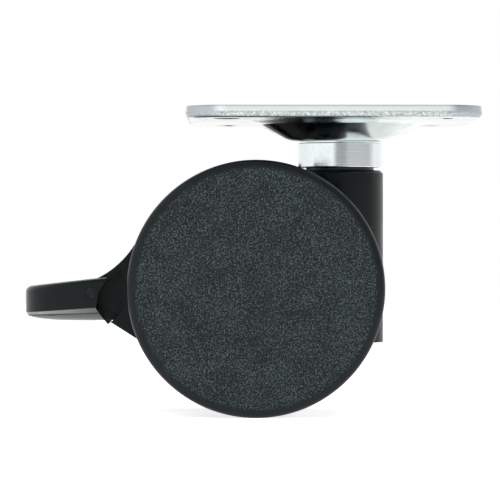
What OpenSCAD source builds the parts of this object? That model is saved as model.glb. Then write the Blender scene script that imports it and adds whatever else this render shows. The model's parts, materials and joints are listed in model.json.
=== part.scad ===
// Braked twin-wheel plate castor, in millimetres.
// Origin: centre of the plate's top face. +Z is up, the wheels trail towards -X.

/* [Top plate] */
// Width and length of the square plate
plate_w = 57.5; // [50:0.5:70]
// Sheet thickness of the plate
plate_t = 2.4; // [2:0.1:3]
// Radius of the plate's corners in plan
plate_corner_r = 8; // [6:0.5:12]
// Rounding of the plate's lower edge
plate_edge_r = 1.1; // [0.5:0.1:1.6]
// Swivel axis ahead of the plate's centre
plate_offset = 1.7; // [0:0.1:3]
// Spacing of the screw holes, both ways
hole_spacing = 41; // [38:0.5:48]
// Diameter of the screw holes
hole_d = 5.3; // [4:0.1:6.5]
// Diameter of the drawn dish where its underside leaves the plate
dish_rim_d = 33.2; // [32:0.1:36]
// Depth of the dish, plate top to floor underside
dish_depth = 6.3; // [5.8:0.1:6.8]
// Slope of the dish's wall, in degrees
dish_slope = 27; // [24:0.5:34]
// Inside bend where the plate turns down into the dish
dish_rim_bend = 1.5; // [0.5:0.1:2.5]
// Inside bend where the dish's wall meets its floor
dish_floor_bend = 0.6; // [0.3:0.1:1.5]

/* [Swivel stem] */
// Diameter of the stem's collar
collar_d = 16.7; // [15:0.1:18]
// Height of the collar
collar_h = 4.9; // [3:0.1:8]
// Height of the small shoulder under the dish
shoulder_h = 0.3; // [0.2:0.1:0.8]
// Diameter of that shoulder
shoulder_d = 15.7; // [13:0.1:16]
// Diameter of the stem's shank
shank_d = 11; // [9:0.1:11]
// Length of the shank below the collar
shank_l = 22; // [20:0.5:28]
// Diameter of the riveted spigot in the plate
spigot_d = 9; // [7:0.1:10]
// Diameter of the rivet head
rivet_d = 12.4; // [11:0.1:13.5]
// Height of the rivet head
rivet_h = 1.6; // [1:0.1:2.5]
// Bevel at the ends of the collar
collar_bevel = 0.45; // [0.2:0.05:0.8]
// Outside diameter of the thrust washer
washer_d = 13.5; // [12.5:0.1:15.5]
// Thickness of the thrust washer
washer_t = 0.5; // [0.3:0.05:1]
// Thickness of the stem snap ring
snap_t = 1.2; // [0.8:0.1:1.6]
// Radial width of the stem snap ring
snap_w = 2; // [1.6:0.1:2.2]
// Depth of the groove that holds the stem snap ring
snap_groove = 0.7; // [0.4:0.05:1]
// Snap ring's lower face above the shank's end
snap_lift = 2.4; // [2:0.1:4]
// Wall of the swivel bush
bush_wall = 1.05; // [0.8:0.05:1.2]

/* [Housing] */
// Diameter of the stem socket
socket_d = 17.2; // [16.5:0.1:18]
// Socket's floor face below the plate's top face
socket_drop = 46.2; // [44:0.1:50]
// Bevel at the socket's mouth
socket_bevel = 0.6; // [0.3:0.1:1]
// Outer radius of the fender between the wheels
fender_r = 22.6; // [22:0.1:23.4]
// Thickness of the fender and the flanges
fender_t = 2.4; // [1.8:0.1:2.6]
// Thickness of the upright web
web_t = 4; // [3:0.1:5]
// Diameter of the axle boss
boss_d = 14; // [12:0.1:15]
// Angle between the web's stiffening ribs
rib_step = 36; // [30:1:40]
// Thickness of those ribs
rib_t = 1.6; // [1.2:0.1:2.2]
// Depth of the side pockets in the neck
neck_pocket = 2.2; // [1:0.1:2.6]
// Thickness of the flange over those pockets
neck_flange = 1.2; // [1:0.1:1.6]
// Radius of the hollow curve on top of the neck
neck_curve_r = 17.8; // [17:0.1:19]
// Radius of the ears' bosses round the pedal pin
ear_r = 2.4; // [2.2:0.1:2.6]
// Thickness of each ear
ear_t = 3.5; // [2.6:0.1:3.6]

/* [Wheels] */
// Diameter of the wheels
wheel_d = 50; // [49:0.5:52]
// Width over both wheels
track_w = 47.3; // [46:0.1:52]
// Rounding of the wheel's outer edge
wheel_edge_r = 1.35; // [0.8:0.05:2]
// Wall of the wheel's rim
rim_t = 5; // [4.5:0.1:5.4]
// Thickness of the wheel's closed face
face_t = 2.6; // [2:0.1:3.2]
// Wheel axis behind the swivel axis
trail = 16.75; // [16:0.05:18]
// Wheel axis below the plate's top face
axle_drop = 35.4; // [34.8:0.1:37]
// Diameter of the axle
axle_d = 8; // [6:0.1:8.5]
// Number of ribs behind the wheel's face
wheel_ribs = 8; // [6:1:10]
// Thickness of those ribs
wheel_rib_t = 1.6; // [1:0.1:2.2]

/* [Brake] */
// Number of teeth on each wheel's brake crown
crown_teeth = 24; // [24:12:24]
// Diameter over the crown's teeth
crown_d = 25.2; // [25:0.1:25.6]
// Height of the crown's teeth
tooth_h = 1.4; // [1.2:0.05:1.6]
// Width of the crown along the axle
crown_w = 5; // [4:0.1:6]
// Pedal's stroke in degrees
pedal_stroke = 18; // [15:0.5:18]
// Pedal pivot behind the wheel axis
pivot_back = 32.4; // [32:0.1:33]
// Pedal pivot below the wheel axis
pivot_drop = 0.9; // [0.5:0.1:1.3]
// Diameter of the pedal pin
pin_d = 2.2; // [1.8:0.1:3]
// Tilt of the released pedal, outer end down, in degrees
pedal_tilt = 6.3; // [4:0.1:8]
// Length of the pedal's outline from its tip to its widest place
pedal_l = 20; // [19:0.1:22]
// Width of the pedal at its widest place
pedal_w = 26.4; // [25.8:0.1:28]
// Height of the pedal's upright band
band_h = 5.75; // [5:0.05:6.2]
// Widest place of the pedal ahead of the pivot
pedal_ahead = 6.6; // [6:0.1:7]
// Draft of the band, as a share by which its lower edge is wider
band_draft = 0.017; // [0:0.001:0.02]
// Depth of the pedal's belly under the band
belly_h = 2.65; // [2.4:0.05:3]
// Distance of the cam's centre from the pivot
cam_offset = 3.7; // [3.5:0.05:3.9]
// Radius of the cam's nose
cam_r = 1.85; // [1.6:0.05:2]
// Width of the cam
cam_w = 5.2; // [4:0.1:6]
// Width of the slider's bar
slider_w = 7.6; // [6:0.1:7.8]
// Width of the slider's toothed shoe across both crowns
shoe_w = 27.6; // [26:0.1:28]
// Height of the shoe
shoe_h = 9.6; // [8.4:0.1:10]
// Outside diameter of the return spring
spring_d = 4.4; // [3.6:0.1:5]
// Wire diameter of the return spring
spring_wire = 0.55; // [0.4:0.05:0.7]
// Turns of the return spring
spring_turns = 6; // [4:1:7]

/* [Clearances] */
// Running clearance on a radius
run_fit = 0.05; // [0.03:0.01:0.08]
// Clearance between faces that slide or turn past each other
side_gap = 0.4; // [0.3:0.05:0.5]
// Clearance of the slider in its slot
slide_fit = 0.2; // [0.1:0.05:0.25]
// Clearance between meshing teeth
mesh_fit = 0.15; // [0.1:0.05:0.25]
// Clearance between the thrust faces of the swivel
thrust_gap = 0.05; // [0.03:0.01:0.1]
// Clearance between the cam and the slider
cam_gap = 0.1; // [0.05:0.05:0.2]

/* [Hidden] */
$fn = 96;
eps = 0.02;
bend_steps = 8;

zinc = "#c7cfd3";
black = "#20262a";
wheel_black = "#3a4244";
dark_steel = "#33383a";

swivel_x = plate_offset;
wheel_x = swivel_x - trail;
wheel_z = -axle_drop;
wheel_r = wheel_d / 2;

// levels of the swivel, downwards from the plate
shoulder_z = -dish_depth;
collar_z = shoulder_z - shoulder_h;
collar_end_z = collar_z - collar_h;
socket_top_z = collar_end_z - thrust_gap - washer_t;
shank_end_z = collar_end_z - shank_l;
snap_z = shank_end_z + snap_lift;
bush_r = shank_d / 2 + run_fit;
socket_bore_r = bush_r + bush_wall;
snap_in_r = shank_d / 2 - snap_groove;
snap_out_r = snap_in_r + snap_w;
snap_room_r = snap_out_r + side_gap;

// places across the castor, measured from its middle plane
half_gap = socket_d / 2 + side_gap;
half_track = track_w / 2;
housing_w = socket_d;
face_in = half_track - face_t;
rim_in_r = wheel_r - rim_t;
axle_end_gap = 0.8;
axle_half = face_in - axle_end_gap;
axle_bevel = 0.6;
clip_t = 0.8;
clip_back = 2.6;
clip_groove = 0.7;
clip_stand = 1.2;
clip_y = axle_half - clip_back;
clip_in_r = axle_d / 2 - clip_groove;
clip_out_r = axle_d / 2 + clip_stand;
bore_end = axle_half + side_gap;
hub_in = half_gap + side_gap;
crown_end = hub_in + crown_w;

// brake geometry, from the wheel axis
crown_r = crown_d / 2;
root_r = crown_r - tooth_h;
pitch_deg = 360 / crown_teeth;
tip_half_deg = 0.15 * pitch_deg; // shares of one pitch
root_half_deg = 0.39 * pitch_deg;
travel = 2 * cam_offset * sin(pedal_stroke / 2);
rest_clear = 0.3;
shoe_tip_r = crown_r + rest_clear - travel;
cam_x = -cam_offset * sin(pedal_stroke / 2);
cam_z = -cam_offset * cos(pedal_stroke / 2);
slider_back = -pivot_back + cam_x + cam_r + cam_gap;
slider_under_pin = 2.1;
slider_top = -pivot_drop - slider_under_pin;
slider_low = -pivot_drop + cam_z - cam_r + eps;
nib_x = slider_back + 0.9;
nib_w = 1.5;
nib_h = 0.9;
shoe_t = 4.8;
seat_t = 1.9;
boss_flat_t = 0.6;
shoe_back = -(crown_r + shoe_t);
spring_from = -(crown_r + seat_t) - travel;
boss_flat = boss_flat_t - boss_d / 2;

// pedal geometry, from the pivot
pin_above_mid = 0.2;
band_low = -band_h / 2 - pin_above_mid;
band_top = band_low + band_h;
pedal_half = pedal_w / 2;
cam_hub_r = 2.3;
cam_side_deg = -55;
ear_shift = 0.3;
ear_in = slider_w / 2 + slide_fit + ear_shift;
ear_out = ear_in + ear_t;
notch_half = ear_out + side_gap;
notch_room = 0.3;
notch_x = -ear_r - side_gap - notch_room;
notch_floor = -ear_r - 2 * notch_room;
belly_low = band_low - belly_h;
belly_cut_deg = -62;
belly_sweep_r = -belly_low / sin(-belly_cut_deg) + side_gap;
pin_recess = 0.8;
pin_half = pedal_half - pin_recess;

// the neck's outline, from the wheel axis
pocket_low = 3.4;
pocket_knee = 4.1;
pocket_end = 6;
pocket_rise = 1.2;
neck_root_x = -16;
neck_root_z = 15;
neck_crest_x = -25.5;
neck_crest_z = 8.6;
neck_end_z = 6;
neck_low_deg = 32.4;
neck_low_x = -22.2;
neck_low_z = -socket_drop + axle_drop;
neck_curve_x = -pivot_back - 6.65;
neck_curve_z = -pivot_drop + 18.9;

module at_axle() {
    translate([wheel_x, 0, wheel_z]) children();
}

module at_pivot() {
    translate([wheel_x - pivot_back, 0, wheel_z - pivot_drop]) children();
}

// an outline drawn in X and Z, thickened evenly about the middle plane
module across(w) {
    rotate([90, 0, 0]) linear_extrude(w, center = true) children();
}

// the same outline on both sides, from y_in to y_out
module both_sides(y_in, y_out) {
    for (side = [-1, 1])
        translate([0, side * (y_in + y_out) / 2, 0]) across(y_out - y_in) children();
}

// the near side is the far side mirrored
module on_side(side) {
    mirror([0, side < 0 ? 1 : 0, 0]) children();
}

// a ring about Z with an optional mouth
module snap_ring(in_r, out_r, t, mouth) {
    linear_extrude(t) difference() {
        circle(out_r);
        circle(in_r);
        translate([0, -mouth / 2]) square([2 * out_r, mouth]);
    }
}

// cuts a square corner at the origin down to a round of radius r
module round_off(r) {
    difference() {
        square(r);
        translate([r, r]) circle(r);
    }
}

// section of the plate's edge: x from 0 to the plate's side, lower edge rounded
module plate_edge_section() {
    difference() {
        translate([0, -plate_t]) square([plate_corner_r, plate_t]);
        translate([plate_corner_r, -plate_t]) mirror([1, 0]) round_off(plate_edge_r);
    }
}

module plate_blank() {
    inner = plate_w - 2 * plate_corner_r;
    translate([-inner / 2, -inner / 2, -plate_t]) cube([inner, inner, plate_t]);
    for (i = [0:3]) rotate([0, 0, 90 * i]) {
        translate([inner / 2, inner / 2, 0]) rotate_extrude(angle = 90) plate_edge_section();
        translate([inner / 2, inner / 2, 0]) rotate([90, 0, 0]) linear_extrude(inner) plate_edge_section();
    }
}

// half section of the drawn dish: sheet of even thickness that bends down and levels out again
module dish_section() {
    rim_r = dish_rim_d / 2;
    drop = 1 - cos(dish_slope);
    rim_out = dish_rim_bend + plate_t;
    floor_out = dish_floor_bend + plate_t;
    wall_l = (dish_depth - plate_t - (dish_rim_bend + floor_out) * drop) / sin(dish_slope);
    floor_r = rim_r - wall_l * cos(dish_slope) - (dish_rim_bend + floor_out) * sin(dish_slope);
    rim_c = [rim_r, -plate_t - dish_rim_bend];
    floor_c = [floor_r, floor_out - dish_depth];
    steep = -90 + dish_slope;
    function arc(c, r, from, to) = [for (i = [0:bend_steps]) let (a = from + (to - from) * i / bend_steps)
        c + r * [cos(a), sin(a)]];
    polygon(concat(
        [[rim_r + plate_t, 0]], arc(rim_c, rim_out, 90, 180 + steep),
        arc(floor_c, dish_floor_bend, steep, -90), [[spigot_d / 2, plate_t - dish_depth]],
        [[spigot_d / 2, -dish_depth]], arc(floor_c, floor_out, -90, steep),
        arc(rim_c, dish_rim_bend, 180 + steep, 90), [[rim_r + plate_t, -plate_t]]));
}

module top_plate() {
    color(zinc) difference() {
        union() {
            difference() {
                plate_blank();
                translate([swivel_x, 0, -2 * plate_t]) cylinder(d = dish_rim_d, h = 3 * plate_t);
            }
            translate([swivel_x, 0, 0]) rotate_extrude() dish_section();
        }
        for (sx = [-1, 1], sy = [-1, 1])
            translate([sx * hole_spacing / 2, sy * hole_spacing / 2, -2 * plate_t])
                cylinder(d = hole_d, h = 3 * plate_t);
    }
}

module swivel_stem() {
    rivet_z = -dish_depth + plate_t;
    rivet_crown = 1.6;
    end_bevel = 0.8;
    color(zinc) translate([swivel_x, 0, 0]) rotate_extrude() polygon([
        [0, rivet_z + rivet_h], [rivet_d / 2 - rivet_crown, rivet_z + rivet_h],
        [rivet_d / 2, rivet_z + rivet_h / 2], [rivet_d / 2, rivet_z],
        [spigot_d / 2, rivet_z], [spigot_d / 2, shoulder_z],
        [shoulder_d / 2, shoulder_z], [shoulder_d / 2, collar_z], [collar_d / 2 - collar_bevel, collar_z],
        [collar_d / 2, collar_z - collar_bevel], [collar_d / 2, collar_end_z + collar_bevel],
        [collar_d / 2 - collar_bevel, collar_end_z], [shank_d / 2, collar_end_z],
        [shank_d / 2, snap_z + snap_t], [snap_in_r, snap_z + snap_t], [snap_in_r, snap_z],
        [shank_d / 2, snap_z], [shank_d / 2, shank_end_z + end_bevel],
        [shank_d / 2 - end_bevel, shank_end_z], [0, shank_end_z]]);
}

module stem_snap_ring() {
    color(dark_steel) translate([swivel_x, 0, snap_z])
        snap_ring(snap_in_r, snap_out_r, snap_t, snap_w * 1.5);
}

module thrust_washer() {
    color(black) translate([swivel_x, 0, socket_top_z]) linear_extrude(washer_t) difference() {
        circle(d = washer_d);
        circle(bush_r);
    }
}

module swivel_bush() {
    bush_low_z = snap_z + snap_t + side_gap;
    color("#6b6f70") translate([swivel_x, 0, bush_low_z])
        linear_extrude(socket_top_z - bush_low_z) difference() {
            circle(socket_bore_r);
            circle(bush_r);
        }
}

// the fender between the wheels, from the neck over the top to the socket
module fender_outline(r) {
    intersection() {
        circle(r);
        translate([-wheel_r, neck_low_z]) square([wheel_r + trail, 2 * wheel_r]);
    }
}

module web_ribs_outline() {
    for (i = [-3:2])
        rotate(90 + rib_step * (i + 0.5)) translate([0, -rib_t / 2]) square([fender_r - eps, rib_t]);
}

// the curve that hollows the top of the neck
module neck_curve(grow) {
    translate([neck_curve_x, neck_curve_z]) circle(neck_curve_r + grow);
}

// the neck between fender and pedal, clear of the pedal's swinging belly
module neck_outline() {
    end_x = -pivot_back;
    end_z = neck_low_z + (neck_low_x - end_x) * tan(neck_low_deg);
    difference() {
        polygon([[neck_root_x, neck_root_z], [neck_crest_x, neck_crest_z], [end_x, neck_end_z],
            [end_x, end_z], [neck_low_x, neck_low_z], [neck_root_x, neck_low_z]]);
        neck_curve(0);
        translate([-pivot_back, -pivot_drop]) circle(belly_sweep_r);
    }
}

// ears that carry the pedal pin, joined to the neck above the pedal's belly
module ear_outline() {
    reach = belly_sweep_r + 3;
    arm_low_deg = -30;
    translate([-pivot_back, -pivot_drop]) circle(ear_r);
    difference() {
        translate([-pivot_back, -pivot_drop]) polygon([[0, 0],
            [reach * cos(arm_low_deg), reach * sin(arm_low_deg)], [reach, 2 * reach], [0, 2 * reach]]);
        neck_curve(0);
    }
}

// hollow in the side of neck and ears, under the flange that follows the neck's upper curve
module side_pocket_outline() {
    back_x = -ear_r - side_gap;
    difference() {
        translate([-pivot_back, -pivot_drop]) polygon([[back_x, -pocket_low], [pocket_knee, -pocket_low],
            [pocket_end, pocket_rise - pocket_low], [pocket_end, 2 * ear_r], [back_x, 2 * ear_r]]);
        neck_curve(neck_flange);
    }
}

module housing_solid() {
    translate([swivel_x, 0, -socket_drop]) {
        cylinder(d = socket_d, h = socket_drop + socket_top_z - socket_bevel);
        translate([0, 0, socket_drop + socket_top_z - socket_bevel - eps])
            cylinder(d1 = socket_d, d2 = socket_d - 2 * socket_bevel, h = socket_bevel + eps);
    }
    at_axle() {
        across(housing_w) difference() {
            fender_outline(fender_r);
            circle(fender_r - fender_t);
        }
        across(housing_w) intersection() {
            fender_outline(fender_r - eps);
            translate([-wheel_r, neck_low_z]) square([wheel_r + trail, fender_t]);
        }
        across(web_t) fender_outline(fender_r - fender_t / 2);
        across(housing_w - 2 * neck_pocket) intersection() {
            fender_outline(fender_r - fender_t / 2);
            web_ribs_outline();
        }
        rotate([90, 0, 0]) cylinder(d = boss_d, h = housing_w, center = true);
        across(housing_w) neck_outline();
        both_sides(ear_in, ear_out) ear_outline();
    }
}

module housing() {
    slot_low = slider_low - slide_fit;
    slot_top = slider_top + slide_fit;
    slot_x = slider_back - 4;
    window_x = shoe_back - travel - side_gap;
    nib_end = nib_x + nib_w + travel + side_gap;
    color(black) difference() {
        housing_solid();
        translate([swivel_x, 0, 0]) {
            translate([0, 0, snap_z + snap_t + side_gap]) cylinder(r = socket_bore_r, h = shank_l + 2);
            translate([0, 0, snap_z - side_gap]) cylinder(r = snap_room_r, h = snap_t + 2 * side_gap);
            translate([0, 0, shank_end_z - side_gap]) cylinder(r = bush_r, h = snap_lift + 1);
        }
        at_axle() {
            rotate([90, 0, 0]) cylinder(d = axle_d, h = housing_w + 2, center = true);
            both_sides(housing_w / 2 - neck_pocket, housing_w / 2 + 1) side_pocket_outline();
            across(slider_w + 2 * slide_fit) {
                translate([slot_x, slot_low]) square([shoe_back + 2 - slot_x, slot_top - slot_low]);
                translate([slot_x, slot_low - wheel_r]) square([nib_end - slot_x, wheel_r + eps]);
            }
            across(housing_w + 2) translate([window_x, -shoe_h / 2 - side_gap])
                square([boss_flat - window_x, shoe_h + 2 * side_gap]);
            translate([-pivot_back, 0, -pivot_drop])
                rotate([90, 0, 0]) cylinder(d = pin_d, h = housing_w, center = true);
        }
    }
}

module axle() {
    half = [[axle_d / 2, clip_y], [clip_in_r, clip_y], [clip_in_r, clip_y + clip_t],
        [axle_d / 2, clip_y + clip_t], [axle_d / 2, axle_half - axle_bevel],
        [axle_d / 2 - axle_bevel, axle_half], [0, axle_half]];
    other_half = [for (i = [len(half) - 1:-1:0]) [half[i][0], -half[i][1]]];
    color(zinc) at_axle() rotate([-90, 0, 0]) rotate_extrude() polygon(concat(half, other_half));
}

module axle_clip(side) {
    color(dark_steel) at_axle() on_side(side) rotate([-90, 0, 0]) translate([0, 0, clip_y])
        snap_ring(clip_in_r, clip_out_r, clip_t, clip_in_r);
}

// the brake crown's toothed outline, with a gap facing the slider
module crown_outline(grow) {
    grow_deg = grow / crown_r * 180 / PI;
    polygon([for (i = [0:crown_teeth - 1]) let (c = (i + 0.5) * pitch_deg)
        for (p = [[root_r, -root_half_deg - grow_deg], [crown_r, -tip_half_deg - grow_deg],
            [crown_r, tip_half_deg + grow_deg], [root_r, root_half_deg + grow_deg]])
            (p[0] + grow) * [cos(c + p[1]), sin(c + p[1])]]);
}

// half section of a wheel: radius across, distance from the middle plane upwards
module wheel_section() {
    difference() {
        translate([0, half_gap]) square([wheel_r, half_track - half_gap]);
        translate([root_r - eps, half_gap - 1]) square([rim_in_r - root_r + eps, face_in - half_gap + 1]);
        translate([-1, half_gap - 1]) square([root_r + 1, hub_in - half_gap + 1]);
        translate([-1, hub_in - 1]) square([axle_d / 2 + run_fit + 1, bore_end - hub_in + 1]);
        translate([-1, clip_y - side_gap]) square([clip_out_r + side_gap + 1, clip_t + 2 * side_gap]);
        translate([wheel_r, half_track]) rotate(180) round_off(wheel_edge_r);
        translate([wheel_r, half_gap]) mirror([1, 0]) round_off(wheel_edge_r / 2);
    }
}

module wheel(side) {
    color(wheel_black) at_axle() on_side(side) {
        rotate([-90, 0, 0]) rotate_extrude() wheel_section();
        translate([0, (hub_in + crown_end) / 2, 0]) across(crown_w) difference() {
            crown_outline(0);
            circle(root_r - 1);
        }
        translate([0, (crown_end + side_gap + face_in) / 2, 0]) across(face_in - crown_end - side_gap + eps)
            for (i = [0:wheel_ribs - 1]) rotate(360 / wheel_ribs * (i + 0.5))
                translate([root_r - 0.5, -wheel_rib_t / 2]) square([rim_in_r - root_r + 1, wheel_rib_t]);
    }
}

// an upright ellipse that shares the pedal's widest place
module pedal_oval(half_l, half_w, h) {
    translate([pedal_ahead, 0, 0]) scale([half_l, half_w, 1]) cylinder(r = 1, h = h);
}

module pedal_band() {
    soft = 0.8;
    edge = soft / pedal_half;
    translate([pedal_ahead, 0, 0]) scale([pedal_l, pedal_half, 1]) rotate_extrude() polygon([
        [0, band_low], [1 + band_draft, band_low], [1, band_top - soft],
        [1 - 0.2 * edge, band_top - 0.4 * soft], [1 - 0.5 * edge, band_top - 0.1 * soft],
        [1 - edge, band_top], [0, band_top]]);
}

// rounded belly: ovals that shrink downwards, the first one tilted with the band
module pedal_belly() {
    layers = [[0.96, 0.74, 0.43, -3], [0.92, 0.56, 0.70, -1], [0.76, 0.35, 0.92, 0], [0.60, 0.14, 1, 0]];
    hull() {
        rotate([0, -pedal_tilt, 0]) translate([0, 0, band_low])
            pedal_oval(pedal_l - 0.1, pedal_half - 0.1, 0.4, $fn = 64);
        for (s = layers) rotate([0, s[3], 0]) translate([0, 0, band_low - s[2] * belly_h])
            pedal_oval(s[0] * pedal_l, s[1] * pedal_half, eps, $fn = 64);
    }
}

// the cam that drives the slider, with its hub on the pin
module cam_outline() {
    root_x = notch_x - 0.5;
    root_top = 1.4;
    root_low = belly_low + 0.6;
    circle(cam_hub_r);
    translate([cam_x, cam_z]) circle(cam_r);
    polygon([[root_x, root_top], [0, cam_hub_r], cam_hub_r * [cos(cam_side_deg), sin(cam_side_deg)],
        [cam_x + cam_r, cam_z], [cam_x, cam_z - cam_r], [root_x, root_low]]);
}

// what is left of the pedal behind its root: a leaning end above the belly's own cut
module pedal_root_cut() {
    far = 2 * pedal_l;
    top_x = 3.1;
    pin_x = 1.5;
    low_x = 1.0;
    polygon([[top_x, far], [top_x, band_top], [pin_x, 0], [low_x, band_low],
        far * [cos(belly_cut_deg), sin(belly_cut_deg)], [far, -far], [far, far]]);
}

module brake_pedal() {
    centre_notch_x = cam_x + cam_r - 0.7;
    tread_rim = 2.2;
    tread_sink = 0.5;
    color(black) at_pivot() difference() {
        union() {
            difference() {
                union() {
                    rotate([0, -pedal_tilt, 0]) pedal_band();
                    pedal_belly();
                }
                rotate([0, -pedal_tilt, 0]) translate([0, 0, band_top - tread_sink])
                    pedal_oval(pedal_l - tread_rim, pedal_half - tread_rim, 2 * tread_sink);
                across(2 * notch_half) translate([notch_x, notch_floor]) square([2 * pedal_l, 3 * band_h]);
                across(slider_w + 2 * side_gap) translate([centre_notch_x, belly_low - 1])
                    square([2 * pedal_l, 3 * band_h]);
                across(2 * pedal_w) pedal_root_cut();
            }
            across(cam_w) cam_outline();
        }
        rotate([90, 0, 0]) cylinder(d = pin_d + 2 * run_fit, h = 2 * pedal_w, center = true);
    }
}

module pedal_pin() {
    color(dark_steel) at_pivot() rotate([90, 0, 0]) cylinder(d = pin_d, h = 2 * pin_half, center = true);
}

module brake_slider() {
    seat_half = spring_d / 2 + side_gap;
    color("#2b3031") at_axle() {
        across(slider_w) translate([slider_back, slider_low])
            square([shoe_back - travel + 1 - slider_back, slider_top - slider_low]);
        across(slider_w - 2) polygon([[nib_x, slider_low + eps], [nib_x + nib_w / 2, slider_low - nib_h],
            [nib_x + nib_w, slider_low + eps]]);
        translate([-travel, 0, 0]) difference() {
            across(shoe_w) difference() {
                translate([shoe_back, -shoe_h / 2]) square([-shoe_back, shoe_h]);
                crown_outline(mesh_fit);
                circle(shoe_tip_r);
            }
            across(2 * seat_half) translate([spring_from + travel, -seat_half])
                square([crown_r, 2 * seat_half]);
        }
    }
}

// a round wire swept along a helix about X
module helix(r, wire, from_x, to_x, turns) {
    sides = 6;
    steps = 16 * turns;
    function at(i) = from_x + wire / 2 + (to_x - from_x - wire) * i / steps;
    ring = [for (i = [0:steps], j = [0:sides - 1]) let (a = 360 * turns * i / steps, b = 360 * j / sides,
        rr = r - wire / 2 + wire / 2 * cos(b)) [at(i) + wire / 2 * sin(b), rr * cos(a), rr * sin(a)]];
    walls = [for (i = [0:steps - 1], j = [0:sides - 1]) let (k = (j + 1) % sides)
        [i * sides + j, i * sides + k, (i + 1) * sides + k, (i + 1) * sides + j]];
    ends = [[for (j = [sides - 1:-1:0]) j], [for (j = [0:sides - 1]) steps * sides + j]];
    polyhedron(ring, concat(walls, ends), convexity = 8);
}

module return_spring() {
    color(zinc) at_axle() helix(spring_d / 2, spring_wire, spring_from + eps, boss_flat - eps, spring_turns);
}

top_plate();
swivel_stem();
stem_snap_ring();
thrust_washer();
swivel_bush();
housing();
axle();
axle_clip(-1);  // axle_clip_near
axle_clip(1);  // axle_clip_far
wheel(-1);  // wheel_near
wheel(1);  // wheel_far
brake_pedal();
pedal_pin();
brake_slider();
return_spring();
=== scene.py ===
import json
import math

import bmesh
import bpy
from mathutils import Matrix, Vector


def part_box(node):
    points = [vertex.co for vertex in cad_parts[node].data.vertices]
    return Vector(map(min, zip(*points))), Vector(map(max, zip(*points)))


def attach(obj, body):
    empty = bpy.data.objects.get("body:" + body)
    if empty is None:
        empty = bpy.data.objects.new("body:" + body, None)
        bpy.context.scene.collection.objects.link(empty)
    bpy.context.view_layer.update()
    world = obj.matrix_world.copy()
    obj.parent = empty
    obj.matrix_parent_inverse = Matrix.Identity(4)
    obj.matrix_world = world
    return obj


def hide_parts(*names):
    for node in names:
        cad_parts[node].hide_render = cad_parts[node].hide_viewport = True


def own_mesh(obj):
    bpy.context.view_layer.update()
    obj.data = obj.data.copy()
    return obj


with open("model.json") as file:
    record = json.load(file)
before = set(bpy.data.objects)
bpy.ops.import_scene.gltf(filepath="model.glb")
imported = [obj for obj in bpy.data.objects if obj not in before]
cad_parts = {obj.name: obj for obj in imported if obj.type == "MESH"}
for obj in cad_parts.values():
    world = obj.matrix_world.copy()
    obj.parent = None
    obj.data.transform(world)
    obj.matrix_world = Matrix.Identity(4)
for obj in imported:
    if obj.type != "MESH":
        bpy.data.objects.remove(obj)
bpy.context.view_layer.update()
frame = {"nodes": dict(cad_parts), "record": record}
mm = 0.001
print("frame loaded:", len(frame["nodes"]), "nodes")


# colours and shader nodes

def linear(hexColour):
    channels = [int(hexColour[i:i + 2], 16) / 255 for i in (1, 3, 5)]
    return [c / 12.92 if c <= 0.04045 else ((c + 0.055) / 1.055) ** 2.4 for c in channels] + [1.0]


def addNode(tree, kind, settings=None, inputs=None, stops=()):
    # stops are a colour ramp's (place, colour) pairs, in rising order
    node = tree.nodes.new(kind)
    for name, value in (settings or {}).items():
        setattr(node, name, value)
    for name, value in (inputs or {}).items():
        if isinstance(value, bpy.types.NodeSocket):
            tree.links.new(value, node.inputs[name])
        else:
            node.inputs[name].default_value = value
    for i, (place, hexColour) in enumerate(stops):
        element = node.color_ramp.elements[i] if i < 2 else node.color_ramp.elements.new(place)
        element.position = place
        element.color = linear(hexColour)
    return node


def newMaterial(name):
    mat = bpy.data.materials.new(name)
    mat.use_nodes = True
    mat.node_tree.nodes.clear()
    return mat, mat.node_tree


def finishMaterial(tree, shader):
    addNode(tree, "ShaderNodeOutputMaterial", inputs={"Surface": shader.outputs[0]})


# mesh helpers, sizes in millimetres and angles in degrees

meshing = {
    "weld": 0.0006,           # points nearer than this become one
    "flatAngle": 0.6,         # faces that turn less than this become one before edges are rounded
    "bevelSteps": 2,
    "shadedSharp": 32,        # edges that turn more than this stay sharp in the shading
    "revolveSteps": 192,
}
quarter = [math.radians(90 * k / 6) for k in range(7)]     # along a rounded edge


def roundedPath(corners, steps):
    # corners are (x, y, radius); a radius of 0 stays sharp, and so do both ends
    points = []
    for i, (x, y, radius) in enumerate(corners):
        here = Vector((x, y))
        if radius <= 0 or i in (0, len(corners) - 1):
            points.append(here)
            continue
        before = Vector(corners[i - 1][:2]) - here
        after = Vector(corners[i + 1][:2]) - here
        half = before.angle(after) / 2
        reach = radius / math.tan(half)
        middle = here + (before.normalized() + after.normalized()).normalized() * radius / math.sin(half)
        start = here + before.normalized() * reach - middle
        end = here + after.normalized() * reach - middle
        turn = start.angle_signed(end)
        for k in range(steps + 1):
            points.append(middle + Matrix.Rotation(-turn * k / steps, 2) @ start)
    return points


def ringStrip(bm, ringA, ringB):
    # joins two rings, either of which may be a single point
    count = max(len(ringA), len(ringB))
    for i in range(count):
        j = (i + 1) % count
        corners = [ringA[i % len(ringA)], ringA[j % len(ringA)], ringB[j % len(ringB)], ringB[i % len(ringB)]]
        unique = [v for k, v in enumerate(corners) if v not in corners[:k]]
        bm.faces.new(unique)


def joinRings(bm, rings):
    for ringA, ringB in zip(rings, rings[1:]):
        ringStrip(bm, ringA, ringB)


def roundRing(bm, x, y, radius, z, steps):
    angles = [2 * math.pi * k / steps for k in range(steps)]
    return [bm.verts.new((x + radius * math.cos(a), y + radius * math.sin(a), z)) for a in angles]


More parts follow.
